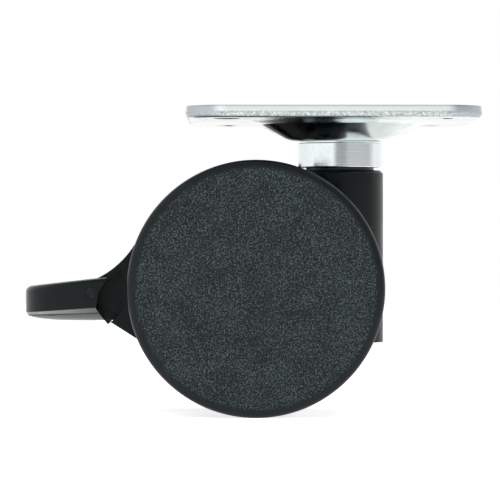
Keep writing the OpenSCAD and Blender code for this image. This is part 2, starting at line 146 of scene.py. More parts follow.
def revolve(profile):
    # profile of (radius, height) about Z
    bm = bmesh.new()
    rings = []
    for radius, height in profile:
        if radius < meshing["weld"]:
            rings.append([bm.verts.new((0, 0, height))])
        else:
            rings.append(roundRing(bm, 0, 0, radius, height, meshing["revolveSteps"]))
    joinRings(bm, rings)
    return bm


def prism(outline, yLow, yHigh):
    # outline of (x, z), thickened along Y
    bm = bmesh.new()
    near = [bm.verts.new((x, yLow, z)) for x, z in outline]
    far = [bm.verts.new((x, yHigh, z)) for x, z in outline]
    bm.faces.new(near)
    bm.faces.new(far)
    ringStrip(bm, near, far)
    return bm


def barOutline(x0, z0, x1, z1):
    return [(x0, z0), (x1, z0), (x1, z1), (x0, z1)]


def toObject(name, bm):
    bmesh.ops.recalc_face_normals(bm, faces=bm.faces)
    mesh = bpy.data.meshes.new(name)
    bm.to_mesh(mesh)
    bm.free()
    obj = bpy.data.objects.new(name, mesh)
    bpy.context.collection.objects.link(obj)
    return obj


def bake(obj):
    # puts what the modifiers give into the mesh
    deps = bpy.context.evaluated_depsgraph_get()
    result = bpy.data.meshes.new_from_object(obj.evaluated_get(deps))
    obj.modifiers.clear()
    obj.data = result


def combine(obj, tool, how):
    other = toObject("tool", tool)
    mod = obj.modifiers.new("combine", "BOOLEAN")
    mod.object = other
    mod.operation = how
    mod.solver = "EXACT"
    bake(obj)
    bpy.data.objects.remove(other)


def cleanMesh(bm):
    bmesh.ops.remove_doubles(bm, verts=bm.verts, dist=meshing["weld"])
    bmesh.ops.dissolve_degenerate(bm, edges=bm.edges, dist=meshing["weld"])


def softenEdges(obj, width, angle=35, roomShare=2.2):
    # rounds the edges that turn more than the angle and have room, in widths, along every edge at their ends
    bm = bmesh.new()
    bm.from_mesh(obj.data)
    cleanMesh(bm)
    flat = math.radians(meshing["flatAngle"])
    bmesh.ops.dissolve_limit(bm, angle_limit=flat, verts=bm.verts, edges=bm.edges)
    room = roomShare * width
    roomy = {v for v in bm.verts if all(e.calc_length() > room for e in v.link_edges)}
    sharp = [e for e in bm.edges if len(e.link_faces) == 2 and e.calc_face_angle() > math.radians(angle)
             and roomy.issuperset(e.verts)]
    bmesh.ops.bevel(bm, geom=sharp, offset=width, offset_type="OFFSET", segments=meshing["bevelSteps"],
                    profile=0.5, affect="EDGES", clamp_overlap=True)
    cleanMesh(bm)
    bm.to_mesh(obj.data)
    bm.free()
    print("softened", len(sharp), "edges of", obj.name)


def finishPiece(obj, body, materials, replaced):
    # from millimetres to metres, evened normals, then onto its body
    obj.data.transform(Matrix.Scale(mm, 4))
    for face in obj.data.polygons:
        face.use_smooth = True
    obj.data.set_sharp_from_angle(angle=math.radians(meshing["shadedSharp"]))
    mod = obj.modifiers.new("even", "WEIGHTED_NORMAL")
    mod.keep_sharp = True
    bake(obj)
    obj.data.materials.clear()
    for mat in materials:
        obj.data.materials.append(mat)
    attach(obj, body)
    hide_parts(*replaced)
    print("made", obj.name, len(obj.data.polygons), "faces")


def boxMm(node):
    lo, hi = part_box(node)
    return lo / mm, hi / mm


wheelLo, wheelHi = boxMm("wheel_near")
plateLo, plateHi = boxMm("top_plate")
stemLo, stemHi = boxMm("swivel_stem")
pinLo, pinHi = boxMm("pedal_pin")
wheelX = (wheelLo.x + wheelHi.x) / 2
wheelZ = (wheelLo.z + wheelHi.z) / 2
wheelR = (wheelHi.x - wheelLo.x) / 2
swivelX = (stemLo.x + stemHi.x) / 2
pivotX = (pinLo.x + pinHi.x) / 2
pivotZ = (pinLo.z + pinHi.z) / 2


# camera: level, square on to the wheel's face

shot = {
    "imageSize": 500,
    "wheelPixel": (256.1, 289.0),    # where the wheel's centre sits in the picture
    "wheelRadiusPixels": 129.5,
    "distance": 712,                 # from the wheel's face
    "sensor": 36.0,
}
pixelsPerMm = shot["wheelRadiusPixels"] / wheelR
middlePixel = shot["imageSize"] / 2
cam = bpy.data.cameras.new("camera")
cam.sensor_width = shot["sensor"]
cam.lens = shot["sensor"] * pixelsPerMm * shot["distance"] / shot["imageSize"]
cam.clip_end = 20
camObj = bpy.data.objects.new("camera", cam)
camObj.location = mm * Vector((
    wheelX - (shot["wheelPixel"][0] - middlePixel) / pixelsPerMm,
    wheelLo.y - shot["distance"],
    wheelZ + (shot["wheelPixel"][1] - middlePixel) / pixelsPerMm,
))
camObj.rotation_euler = (math.pi / 2, 0, 0)
bpy.context.collection.objects.link(camObj)
bpy.context.scene.camera = camObj
bpy.context.scene.view_settings.view_transform = "Standard"
print("camera set")


# studio: white paper floor and sweep, a bright wall on the left, a dimmer one on the right

studio = {
    "ambient": 0.5,                  # what the surroundings give to matt surfaces
    "leftWall": 1.2,                 # what glossy surfaces see of the walls
    "rightWall": 0.55,
    "wallsMeet": (-0.3, -0.16),      # x of the direction where the left wall passes into the right one
    "lensGap": 0.55,                 # share that is left where the front wall opens for the lens
    "lensEdge": (-0.985, -0.93),     # y of the direction at the rim of that opening
    "sweep": 1.1,                    # the lit paper behind
    "sweepEdge": (-0.1, 0.3),        # y of the direction where the front passes into the sweep
    "overhead": 0.5,                 # the dim ceiling
    "overheadEdge": (0.6, 0.9),      # z of the direction where it begins
    "paper": "#e8e8e8",
    "floorSize": 3.0,                # metres
    "floorGlow": 0.78,               # share of the paper's white that shadows don't reach
    "floorMirrored": 0.58,           # the same in reflections
    "keyPower": 7.0,                 # watts
    "keySize": 0.7,
    "keyPlace": (-0.35, -0.75, 0.75),
    "fillPower": 2.5,
    "fillSize": 0.6,
    "fillPlace": (0.8, -0.3, 0.25),
}


def seenDirectly(tree):
    # 1 where the camera, a reflection or a transmission looks
    path = addNode(tree, "ShaderNodeLightPath")
    a = addNode(tree, "ShaderNodeMath", {"operation": "MAXIMUM"}, {
        0: path.outputs["Is Camera Ray"], 1: path.outputs["Is Glossy Ray"]})
    b = addNode(tree, "ShaderNodeMath", {"operation": "MAXIMUM"}, {
        0: a.outputs[0], 1: path.outputs["Is Transmission Ray"]})
    return b.outputs[0], path.outputs["Is Glossy Ray"]


world = bpy.data.worlds.new("white_studio")
world.use_nodes = True
bpy.context.scene.world = world
tree = world.node_tree
tree.nodes.clear()
seen, glossy = seenDirectly(tree)
toward = addNode(tree, "ShaderNodeTexCoord")
place = addNode(tree, "ShaderNodeSeparateXYZ", inputs={"Vector": toward.outputs["Generated"]})
walls = addNode(tree, "ShaderNodeMapRange", inputs={
    "Value": place.outputs["X"], "From Min": studio["wallsMeet"][0], "From Max": studio["wallsMeet"][1],
    "To Min": studio["leftWall"], "To Max": studio["rightWall"]})
opening = addNode(tree, "ShaderNodeMapRange", inputs={
    "Value": place.outputs["Y"], "From Min": studio["lensEdge"][0], "From Max": studio["lensEdge"][1],
    "To Min": studio["lensGap"], "To Max": 1.0})
front = addNode(tree, "ShaderNodeMath", {"operation": "MULTIPLY"}, {
    0: walls.outputs[0], 1: opening.outputs[0]})
mirrored = addNode(tree, "ShaderNodeMapRange", inputs={
    "Value": place.outputs["Y"], "From Min": studio["sweepEdge"][0], "From Max": studio["sweepEdge"][1],
    "To Min": front.outputs[0], "To Max": studio["sweep"]})
raised = addNode(tree, "ShaderNodeMapRange", inputs={
    "Value": place.outputs["Z"], "From Min": studio["overheadEdge"][0],
    "From Max": studio["overheadEdge"][1], "To Min": mirrored.outputs[0], "To Max": studio["overhead"]})
plain = addNode(tree, "ShaderNodeMapRange", inputs={
    "Value": seen, "To Min": studio["ambient"], "To Max": 1.0})
strength = addNode(tree, "ShaderNodeMapRange", inputs={
    "Value": glossy, "To Min": plain.outputs[0], "To Max": raised.outputs[0]})
sky = addNode(tree, "ShaderNodeBackground", inputs={"Color": (1, 1, 1, 1), "Strength": strength.outputs[0]})
addNode(tree, "ShaderNodeOutputWorld", inputs={"Surface": sky.outputs[0]})

paper, tree = newMaterial("white_paper_floor")
seen, glossy = seenDirectly(tree)
matt = addNode(tree, "ShaderNodeBsdfDiffuse", inputs={"Color": linear(studio["paper"])})
strength = addNode(tree, "ShaderNodeMapRange", inputs={
    "Value": glossy, "To Min": studio["floorGlow"], "To Max": studio["floorMirrored"]})
glow = addNode(tree, "ShaderNodeEmission", inputs={"Color": (1, 1, 1, 1), "Strength": strength.outputs[0]})
lit = addNode(tree, "ShaderNodeAddShader", inputs={0: matt.outputs[0], 1: glow.outputs[0]})
shown = addNode(tree, "ShaderNodeMixShader", inputs={0: seen, 1: matt.outputs[0], 2: lit.outputs[0]})
finishMaterial(tree, shown)

bm = bmesh.new()
bmesh.ops.create_grid(bm, x_segments=1, y_segments=1, size=studio["floorSize"] / 2)
floor = toObject("paper_floor", bm)
floor.location.z = wheelLo.z * mm
floor.data.materials.append(paper)

for name in ("key", "fill"):
    lamp = bpy.data.lights.new(name + "_softbox", "AREA")
    lamp.energy = studio[name + "Power"]
    lamp.size = studio[name + "Size"]
    lampObj = bpy.data.objects.new(name + "_softbox", lamp)
    lampObj.location = studio[name + "Place"]
    aim = Vector((wheelX, 0, wheelZ)) * mm - lampObj.location
    lampObj.rotation_euler = aim.to_track_quat("-Z", "Y").to_euler()
    lampObj.visible_glossy = False    # reflections see the walls instead
    bpy.context.collection.objects.link(lampObj)
print("studio set")


# spark-eroded polyamide: a moulded face whose fine grain breaks up the light into specks

erodedNylon = {
    "dark": "#060b0c", "body": "#152023", "pale": "#565f62", "mottle": 6,
    "grain": 0.3,                             # real pits are finer, drawn coarser so that they show
    "smoothFrom": 22.9, "smoothTo": 24.3,     # the grain runs out towards the rounded edge
    "edgeTone": 0.39, "faceTone": 0.5,        # places on the colour ramp
    "edgeRoughness": 0.35, "roughness": 0.5,
    "ior": 1.33,                              # under the plastic's own, as its reflections look weak
}
faceNylon, tree = newMaterial("spark_eroded_polyamide")
coords = addNode(tree, "ShaderNodeTexCoord")
fromHub = addNode(tree, "ShaderNodeVectorMath", {"operation": "SUBTRACT"}, {
    0: coords.outputs["Object"], 1: (wheelX * mm, 0, wheelZ * mm)})
flat = addNode(tree, "ShaderNodeVectorMath", {"operation": "MULTIPLY"}, {0: fromHub.outputs[0], 1: (1, 0, 1)})
reach = addNode(tree, "ShaderNodeVectorMath", {"operation": "LENGTH"}, {0: flat.outputs[0]})
eroded = addNode(tree, "ShaderNodeMapRange", {"interpolation_type": "SMOOTHSTEP"}, {
    "Value": reach.outputs["Value"], "From Min": erodedNylon["smoothFrom"] * mm,
    "From Max": erodedNylon["smoothTo"] * mm, "To Min": 1.0, "To Max": 0.0})
grain = addNode(tree, "ShaderNodeTexNoise", inputs={
    "Vector": coords.outputs["Object"], "Scale": 1 / (erodedNylon["grain"] * mm), "Detail": 2.0,
    "Roughness": 0.65})
mottle = addNode(tree, "ShaderNodeTexNoise", inputs={
    "Vector": coords.outputs["Object"], "Scale": 1 / (erodedNylon["mottle"] * mm), "Detail": 2.0})
offMean = addNode(tree, "ShaderNodeMath", {"operation": "SUBTRACT"}, {0: grain.outputs["Fac"], 1: 0.5})
pitting = addNode(tree, "ShaderNodeMath", {"operation": "MULTIPLY"}, {
    0: offMean.outputs[0], 1: eroded.outputs[0]})
level = addNode(tree, "ShaderNodeMapRange", inputs={
    "Value": mottle.outputs["Fac"], "From Min": 0.3, "From Max": 0.7, "To Min": -0.025, "To Max": 0.025})
tone = addNode(tree, "ShaderNodeMapRange", inputs={
    "Value": eroded.outputs[0], "To Min": erodedNylon["edgeTone"], "To Max": erodedNylon["faceTone"]})
around = addNode(tree, "ShaderNodeMath", {"operation": "ADD"}, {0: level.outputs[0], 1: tone.outputs[0]})
pits = addNode(tree, "ShaderNodeMath", {"operation": "ADD"}, {0: pitting.outputs[0], 1: around.outputs[0]})
colour = addNode(tree, "ShaderNodeValToRGB", inputs={"Fac": pits.outputs[0]}, stops=[
    (0.37, erodedNylon["dark"]), (0.5, erodedNylon["body"]), (0.68, erodedNylon["pale"])])
bump = addNode(tree, "ShaderNodeBump", inputs={
    "Height": pitting.outputs[0], "Strength": 0.6, "Distance": 0.14 * mm})
rough = addNode(tree, "ShaderNodeMapRange", inputs={
    "Value": eroded.outputs[0], "To Min": erodedNylon["edgeRoughness"], "To Max": erodedNylon["roughness"]})
shader = addNode(tree, "ShaderNodeBsdfPrincipled", inputs={
    "Base Color": colour.outputs["Color"], "Roughness": rough.outputs[0], "IOR": erodedNylon["ior"],
    "Normal": bump.outputs["Normal"]})
finishMaterial(tree, shader)

# polyamide from a stoned mould: smooth with a soft gloss and faint flow marks

mouldedNylon = {
    "body": "#071011", "flow": "#0b1617", "flowSize": 6, "peel": 0.5, "roughness": (0.25, 0.37),
    "ior": 1.27,                  # under the plastic's own, as its reflections look weak
}
smoothNylon, tree = newMaterial("moulded_polyamide")
coords = addNode(tree, "ShaderNodeTexCoord")
flow = addNode(tree, "ShaderNodeTexNoise", inputs={
    "Vector": coords.outputs["Object"], "Scale": 1 / (mouldedNylon["flowSize"] * mm), "Detail": 3.0,
    "Distortion": 0.6})
peel = addNode(tree, "ShaderNodeTexNoise", inputs={
    "Vector": coords.outputs["Object"], "Scale": 1 / (mouldedNylon["peel"] * mm), "Detail": 2.0})
colour = addNode(tree, "ShaderNodeValToRGB", inputs={"Fac": flow.outputs["Fac"]}, stops=[
    (0.35, mouldedNylon["body"]), (0.65, mouldedNylon["flow"])])
rough = addNode(tree, "ShaderNodeMapRange", inputs={
    "Value": flow.outputs["Fac"], "From Min": 0.3, "From Max": 0.7,
    "To Min": mouldedNylon["roughness"][0], "To Max": mouldedNylon["roughness"][1]})
bump = addNode(tree, "ShaderNodeBump", inputs={
    "Height": peel.outputs["Fac"], "Strength": 0.1, "Distance": 0.05 * mm})
shader = addNode(tree, "ShaderNodeBsdfPrincipled", inputs={
    "Base Color": colour.outputs["Color"], "Roughness": rough.outputs[0], "IOR": mouldedNylon["ior"],
    "Normal": bump.outputs["Normal"]})
finishMaterial(tree, shader)

# polyamide from a polished mould: the pedal's gloss that mirrors the floor

polishedNylon = {
    "body": "#071011", "flow": "#0a1415", "flowSize": 5, "roughness": (0.13, 0.23),
    "ior": 1.26,                  # under the plastic's own, as its reflections look weak
}
glossNylon, tree = newMaterial("polished_polyamide")
coords = addNode(tree, "ShaderNodeTexCoord")
flow = addNode(tree, "ShaderNodeTexNoise", inputs={
    "Vector": coords.outputs["Object"], "Scale": 1 / (polishedNylon["flowSize"] * mm), "Detail": 3.0,
    "Distortion": 0.8})
colour = addNode(tree, "ShaderNodeValToRGB", inputs={"Fac": flow.outputs["Fac"]}, stops=[
    (0.35, polishedNylon["body"]), (0.65, polishedNylon["flow"])])
rough = addNode(tree, "ShaderNodeMapRange", inputs={
    "Value": flow.outputs["Fac"], "From Min": 0.3, "From Max": 0.7,
    "To Min": polishedNylon["roughness"][0], "To Max": polishedNylon["roughness"][1]})
bump = addNode(tree, "ShaderNodeBump", inputs={
    "Height": flow.outputs["Fac"], "Strength": 0.05, "Distance": 0.1 * mm})
shader = addNode(tree, "ShaderNodeBsdfPrincipled", inputs={
    "Base Color": colour.outputs["Color"], "Roughness": rough.outputs[0], "IOR": polishedNylon["ior"],
    "Normal": bump.outputs["Normal"]})
finishMaterial(tree, shader)

# moulded acetal: a waxy, milky black for the bearing parts

waxyAcetal = {"body": "#14181a", "milky": "#1d2325", "cloud": 3, "roughness": 0.38, "ior": 1.48}
acetal, tree = newMaterial("moulded_acetal")
coords = addNode(tree, "ShaderNodeTexCoord")
cloud = addNode(tree, "ShaderNodeTexNoise", inputs={
    "Vector": coords.outputs["Object"], "Scale": 1 / (waxyAcetal["cloud"] * mm), "Detail": 3.0})
colour = addNode(tree, "ShaderNodeValToRGB", inputs={"Fac": cloud.outputs["Fac"]}, stops=[
    (0.35, waxyAcetal["body"]), (0.65, waxyAcetal["milky"])])
bump = addNode(tree, "ShaderNodeBump", inputs={
    "Height": cloud.outputs["Fac"], "Strength": 0.06, "Distance": 0.08 * mm})
shader = addNode(tree, "ShaderNodeBsdfPrincipled", inputs={
    "Base Color": colour.outputs["Color"], "Roughness": waxyAcetal["roughness"], "IOR": waxyAcetal["ior"],
    "Normal": bump.outputs["Normal"]})
finishMaterial(tree, shader)
print("plastics mixed")


# wheels: closed outer face, hub with a brake crown, ribs behind the face

wheel = {
    "faceEdge": 1.35, "innerEdge": 0.7,                          # roundings of the tread
    "hubEdge": 0.3, "hollowEdge": 0.8, "rimEdge": 0.4,           # and of the hollow back
    "rimIn": 20.0, "faceIn": 21.05, "hubIn": 9.4, "hubR": 11.2,
    "boreR": 4.05, "boreEnd": 20.65, "clipRoom": (5.6, 17.25, 18.85),
    "drillPlay": 0.02, "drillBefore": 1.0, "drillPast": 0.05,    # reopens the bore through the crown
    "crownR": 12.6, "crownWidth": 5.0, "teeth": 24, "tipShare": 0.15, "rootShare": 0.39,
    "ribs": 8, "ribT": 1.6, "ribFrom": 14.8,
    "ribRoot": 0.5, "ribSink": 0.3,                              # what is inside the walls and the face
    "faceSkin": 0.01,                                            # what still counts as the outer face
}
trackHalf = -wheelLo.y
gapHalf = -wheelHi.y


def crownOutline():
    pitch = 2 * math.pi / wheel["teeth"]
    points = []
    for i in range(wheel["teeth"]):
        middle = (i + 0.5) * pitch
        for radius, share in ((wheel["hubR"], -wheel["rootShare"]), (wheel["crownR"], -wheel["tipShare"]),
                              (wheel["crownR"], wheel["tipShare"]), (wheel["hubR"], wheel["rootShare"])):
            a = middle + share * pitch
            points.append((radius * math.cos(a), radius * math.sin(a)))
    return points


def makeWheel(name, side, body):
    # made on the far side, and mirrored where the side is -1
    roomR, roomLow, roomHigh = wheel["clipRoom"]
    section = roundedPath([
        (0, wheel["boreEnd"], 0), (wheel["boreR"], wheel["boreEnd"], 0), (wheel["boreR"], roomHigh, 0),
        (roomR, roomHigh, 0), (roomR, roomLow, 0), (wheel["boreR"], roomLow, 0),
        (wheel["boreR"], wheel["hubIn"], wheel["hubEdge"]), (wheel["hubR"], wheel["hubIn"], wheel["hubEdge"]),
        (wheel["hubR"], wheel["faceIn"], wheel["hollowEdge"]),
        (wheel["rimIn"], wheel["faceIn"], wheel["hollowEdge"]),
        (wheel["rimIn"], gapHalf, wheel["rimEdge"]), (wheelR, gapHalf, wheel["innerEdge"]),
        (wheelR, trackHalf, wheel["faceEdge"]), (0, trackHalf, 0)], steps=8)
    ontoAxle = Matrix.Rotation(-math.pi / 2, 4, "X")
    bm = revolve(section)
    bmesh.ops.transform(bm, matrix=ontoAxle, verts=bm.verts)
    obj = toObject(name, bm)
    crownOut = wheel["hubIn"] + wheel["crownWidth"]
    combine(obj, prism(crownOutline(), wheel["hubIn"], crownOut), "UNION")
    drillR = wheel["boreR"] + wheel["drillPlay"]
    drillIn = wheel["hubIn"] - wheel["drillBefore"]
    drillOut = crownOut + wheel["drillPast"]
    drill = revolve([(0, drillIn), (drillR, drillIn), (drillR, drillOut), (0, drillOut)])
    bmesh.ops.transform(drill, matrix=ontoAxle, verts=drill.verts)
    combine(obj, drill, "DIFFERENCE")
    ribIn, ribOut = wheel["hubR"] - wheel["ribRoot"], wheel["rimIn"] + wheel["ribRoot"]
    ribOutline = barOutline(ribIn, -wheel["ribT"] / 2, ribOut, wheel["ribT"] / 2)
    for i in range(wheel["ribs"]):
        rib = prism(ribOutline, wheel["ribFrom"], wheel["faceIn"] + wheel["ribSink"])
        turn = Matrix.Rotation(2 * math.pi * (i + 0.5) / wheel["ribs"], 4, "Y")
        bmesh.ops.transform(rib, matrix=turn, verts=rib.verts)
        combine(obj, rib, "UNION")
    bm = bmesh.new()
    bm.from_mesh(obj.data)
    cleanMesh(bm)
    bm.to_mesh(obj.data)
    bm.free()
    if side < 0:
        obj.data.transform(Matrix.Scale(-1, 4, (0, 1, 0)))
        obj.data.flip_normals()
    obj.data.transform(Matrix.Translation((wheelX, 0, wheelZ)))
    for face in obj.data.polygons:
        out = Vector((face.center.x - wheelX, face.center.z - wheelZ)).length
        atFace = abs(face.center.y) > trackHalf - wheel["faceSkin"]
        atEdge = abs(face.center.y) > trackHalf - wheel["faceEdge"] and out > wheelR - wheel["faceEdge"]
        face.material_index = 0 if atFace or atEdge else 1
    indices = [face.material_index for face in obj.data.polygons]
    # the new list of materials resets the faces' own, so they are given again
    finishPiece(obj, body, [faceNylon, smoothNylon], [name.replace("_piece", "")])
    for face, index in zip(obj.data.polygons, indices):
        face.material_index = index


makeWheel("wheel_near_piece", -1, "near_wheel")
makeWheel("wheel_far_piece", 1, "far_wheel")


# bright zinc on rolled sheet: a clear mirror with fine rolling lines and a faint cloudiness

rolledZinc = {
    "body": "#d6dddb", "cloudy": "#c9d1cf", "cloud": 4, "roughness": (0.21, 0.1),
    "line": 0.25, "lineStretch": 0.04,     # real lines are finer, drawn coarser so that they show
}
sheetZinc, tree = newMaterial("bright_zinc_on_rolled_sheet")
coords = addNode(tree, "ShaderNodeTexCoord")
stretch = addNode(tree, "ShaderNodeMapping", inputs={
    "Vector": coords.outputs["Object"], "Scale": (rolledZinc["lineStretch"], 1.0, 1.0)})
rolling = addNode(tree, "ShaderNodeTexNoise", inputs={
    "Vector": stretch.outputs["Vector"], "Scale": 1 / (rolledZinc["line"] * mm), "Detail": 2.0})
cloud = addNode(tree, "ShaderNodeTexNoise", inputs={
    "Vector": coords.outputs["Object"], "Scale": 1 / (rolledZinc["cloud"] * mm), "Detail": 4.0,
    "Roughness": 0.65})
colour = addNode(tree, "ShaderNodeValToRGB", inputs={"Fac": cloud.outputs["Fac"]}, stops=[
    (0.35, rolledZinc["cloudy"]), (0.6, rolledZinc["body"])])
rough = addNode(tree, "ShaderNodeMapRange", inputs={
    "Value": cloud.outputs["Fac"], "From Min": 0.3, "From Max": 0.7,
    "To Min": rolledZinc["roughness"][0], "To Max": rolledZinc["roughness"][1]})
bump = addNode(tree, "ShaderNodeBump", inputs={
    "Height": rolling.outputs["Fac"], "Strength": 0.06, "Distance": 0.05 * mm})
shader = addNode(tree, "ShaderNodeBsdfPrincipled", inputs={
    "Base Color": colour.outputs["Color"], "Metallic": 1.0, "Roughness": rough.outputs[0],
    "Normal": bump.outputs["Normal"]})
finishMaterial(tree, shader)

# zinc over a blanked edge: a smooth band from the punch above, torn and speckled metal below, with painted
# shade on the rounded corners

tornZinc = {
    "smooth": "#f0f5f3", "torn": "#959fa0", "grain": 0.4, "roughness": 0.42,
    "ragged": 0.7, "tornFrom": -0.35, "tornTo": -0.95,        # heights, with what the grain adds to them
    "paintedCornerShade": "#aeb6bc", "paintedCornerShadeFrom": 21.5, "paintedCornerShadeTo": 24,     # painted shade on the rounded corners, where the curved edge turns from the light
}
edgeZinc, tree = newMaterial("bright_zinc_on_blanked_edge")
coords = addNode(tree, "ShaderNodeTexCoord")
place = addNode(tree, "ShaderNodeSeparateXYZ", inputs={"Vector": coords.outputs["Object"]})
grain = addNode(tree, "ShaderNodeTexNoise", inputs={
    "Vector": coords.outputs["Object"], "Scale": 1 / (tornZinc["grain"] * mm), "Detail": 3.0,
    "Roughness": 0.7})
ragged = addNode(tree, "ShaderNodeMath", {"operation": "MULTIPLY_ADD"}, {
    0: grain.outputs["Fac"], 1: tornZinc["ragged"] * mm, 2: place.outputs["Z"]})
torn = addNode(tree, "ShaderNodeMapRange", inputs={
    "Value": ragged.outputs[0], "From Min": tornZinc["tornFrom"] * mm, "From Max": tornZinc["tornTo"] * mm})
pitting = addNode(tree, "ShaderNodeMath", {"operation": "MULTIPLY"}, {
    0: grain.outputs["Fac"], 1: torn.outputs[0]})
colour = addNode(tree, "ShaderNodeValToRGB", inputs={"Fac": pitting.outputs[0]}, stops=[
    (0.3, tornZinc["smooth"]), (0.62, tornZinc["torn"])])
# painted shade: the edge's colour is darkened on its rounded corners, standing in for the shade of the curve
sideX = addNode(tree, "ShaderNodeMath", {"operation": "ABSOLUTE"}, {0: place.outputs["X"]})
sideY = addNode(tree, "ShaderNodeMath", {"operation": "ABSOLUTE"}, {0: place.outputs["Y"]})
corner = addNode(tree, "ShaderNodeMath", {"operation": "MINIMUM"}, {0: sideX.outputs[0], 1: sideY.outputs[0]})
paintedCornerShade = addNode(tree, "ShaderNodeMapRange", {"interpolation_type": "SMOOTHSTEP"}, {
    "Value": corner.outputs[0], "From Min": tornZinc["paintedCornerShadeFrom"] * mm, "From Max": tornZinc["paintedCornerShadeTo"] * mm})
cornerShaded = addNode(tree, "ShaderNodeMix", {"data_type": "RGBA", "blend_type": "DARKEN"}, {
    0: paintedCornerShade.outputs[0], 6: colour.outputs["Color"], 7: linear(tornZinc["paintedCornerShade"])})
depth = addNode(tree, "ShaderNodeMapRange", inputs={
    "Value": torn.outputs[0], "To Min": 0.1, "To Max": 0.7})
bump = addNode(tree, "ShaderNodeBump", inputs={
    "Height": grain.outputs["Fac"], "Strength": depth.outputs[0], "Distance": 0.12 * mm})
shader = addNode(tree, "ShaderNodeBsdfPrincipled", inputs={
    "Base Color": cornerShaded.outputs[2], "Metallic": 1.0, "Roughness": tornZinc["roughness"],
    "Normal": bump.outputs["Normal"]})
finishMaterial(tree, shader)

# zinc on turned steel: a bright mirror with fine rings from the tool

turned = {
    "body": "#e0e7e9", "dull": "#dbe2e4", "speck": 0.6, "roughness": (0.19, 0.15),
    "pitch": 0.3,                          # real rings are finer, drawn coarser so that they show
}
turnedZinc, tree = newMaterial("zinc_on_turned_steel")
coords = addNode(tree, "ShaderNodeTexCoord")
place = addNode(tree, "ShaderNodeSeparateXYZ", inputs={"Vector": coords.outputs["Object"]})
height = addNode(tree, "ShaderNodeCombineXYZ", inputs={"Z": place.outputs["Z"]})
rings = addNode(tree, "ShaderNodeTexNoise", inputs={
    "Vector": height.outputs["Vector"], "Scale": 1 / (turned["pitch"] * mm), "Detail": 2.0})
speck = addNode(tree, "ShaderNodeTexNoise", inputs={
    "Vector": coords.outputs["Object"], "Scale": 1 / (turned["speck"] * mm), "Detail": 3.0})
colour = addNode(tree, "ShaderNodeValToRGB", inputs={"Fac": speck.outputs["Fac"]}, stops=[
    (0.35, turned["dull"]), (0.6, turned["body"])])
rough = addNode(tree, "ShaderNodeMapRange", inputs={
    "Value": speck.outputs["Fac"], "From Min": 0.3, "From Max": 0.7,
    "To Min": turned["roughness"][0], "To Max": turned["roughness"][1]})
bump = addNode(tree, "ShaderNodeBump", inputs={
    "Height": rings.outputs["Fac"], "Strength": 0.14, "Distance": 0.05 * mm})
shader = addNode(tree, "ShaderNodeBsdfPrincipled", inputs={
    "Base Color": colour.outputs["Color"], "Metallic": 1.0, "Roughness": rough.outputs[0],
    "Normal": bump.outputs["Normal"]})
finishMaterial(tree, shader)

# oiled spring steel: blued dark in tempering, with a thin uneven film of oil

oiled = {"body": "#303335", "blued": "#26292d", "film": 1.5, "roughness": (0.24, 0.42)}
springSteel, tree = newMaterial("oiled_spring_steel")
coords = addNode(tree, "ShaderNodeTexCoord")
film = addNode(tree, "ShaderNodeTexNoise", inputs={
    "Vector": coords.outputs["Object"], "Scale": 1 / (oiled["film"] * mm), "Detail": 4.0, "Roughness": 0.6})
colour = addNode(tree, "ShaderNodeValToRGB", inputs={"Fac": film.outputs["Fac"]}, stops=[
    (0.38, oiled["blued"]), (0.62, oiled["body"])])
rough = addNode(tree, "ShaderNodeMapRange", inputs={
    "Value": film.outputs["Fac"], "From Min": 0.3, "From Max": 0.7,
    "To Min": oiled["roughness"][0], "To Max": oiled["roughness"][1]})
bump = addNode(tree, "ShaderNodeBump", inputs={
    "Height": film.outputs["Fac"], "Strength": 0.1, "Distance": 0.05 * mm})
shader = addNode(tree, "ShaderNodeBsdfPrincipled", inputs={
    "Base Color": colour.outputs["Color"], "Metallic": 1.0, "Roughness": rough.outputs[0],
    "Normal": bump.outputs["Normal"]})
finishMaterial(tree, shader)
print("metals mixed")


# top plate: blanked square with four screw holes and a drawn dish

plate = {
    "thickness": 2.4, "corner": 8.0, "topEdge": 0.3, "lowEdge": 1.1, "deburr": 0.2,
    "ringFlat": 2.0, "ringR": 19.4, "ringDrop": 0.6, "ringBend": 4.0,     # the dish from outside to inside
    "rimR": 16.3, "rimBend": 0.5, "floorR": 9.9, "floorBend": 5.5, "spigotR": 4.5,
    "cornerSteps": 20, "holeSteps": 48, "dishSteps": 160,
}
screws = frame["record"]["mounts"][0]["dims"]


def squareRing(bm, inset, z):
    half = plateHi.x - plate["corner"]
    radius = plate["corner"] - inset
    ring = []
    for sx, sy, first in ((1, 1, 0), (-1, 1, 90), (-1, -1, 180), (1, -1, 270)):
        for k in range(plate["cornerSteps"] + 1):
            a = math.radians(first + 90 * k / plate["cornerSteps"])
            ring.append(bm.verts.new((sx * half + radius * math.cos(a), sy * half + radius * math.sin(a), z)))
    return ring


def dishProfile():
    # from the sheet's top over the dish's wall and back along its underside
    t = plate["thickness"]
    depth = -plateLo.z
    outR = plate["ringR"] + plate["ringFlat"]
    below = [Vector(p) for p in ((outR, -t), (plate["ringR"], -t), (plate["rimR"], -t - plate["ringDrop"]),
                                 (plate["floorR"], -depth), (plate["spigotR"], -depth))]
    stretches = [(b - a).normalized() for a, b in zip(below, below[1:])]
    above = []
    for here, a, b in zip(below, stretches[:1] + stretches, stretches + stretches[-1:]):
        normal = Vector((a.y + b.y, -a.x - b.x)) / (1 + a.dot(b))     # the sheet keeps its thickness
        above.append(here + normal * t)
    bends = (0, plate["ringBend"], plate["rimBend"], plate["floorBend"], 0)
    topBends = (0, plate["ringBend"] + t, plate["rimBend"] + t, plate["floorBend"] - t, 0)
    upper = roundedPath([(p.x, p.y, r) for p, r in zip(above, topBends)], steps=8)
    lower = roundedPath([(p.x, p.y, r) for p, r in zip(below, bends)], steps=8)
    return [tuple(p) for p in upper + lower[::-1]]


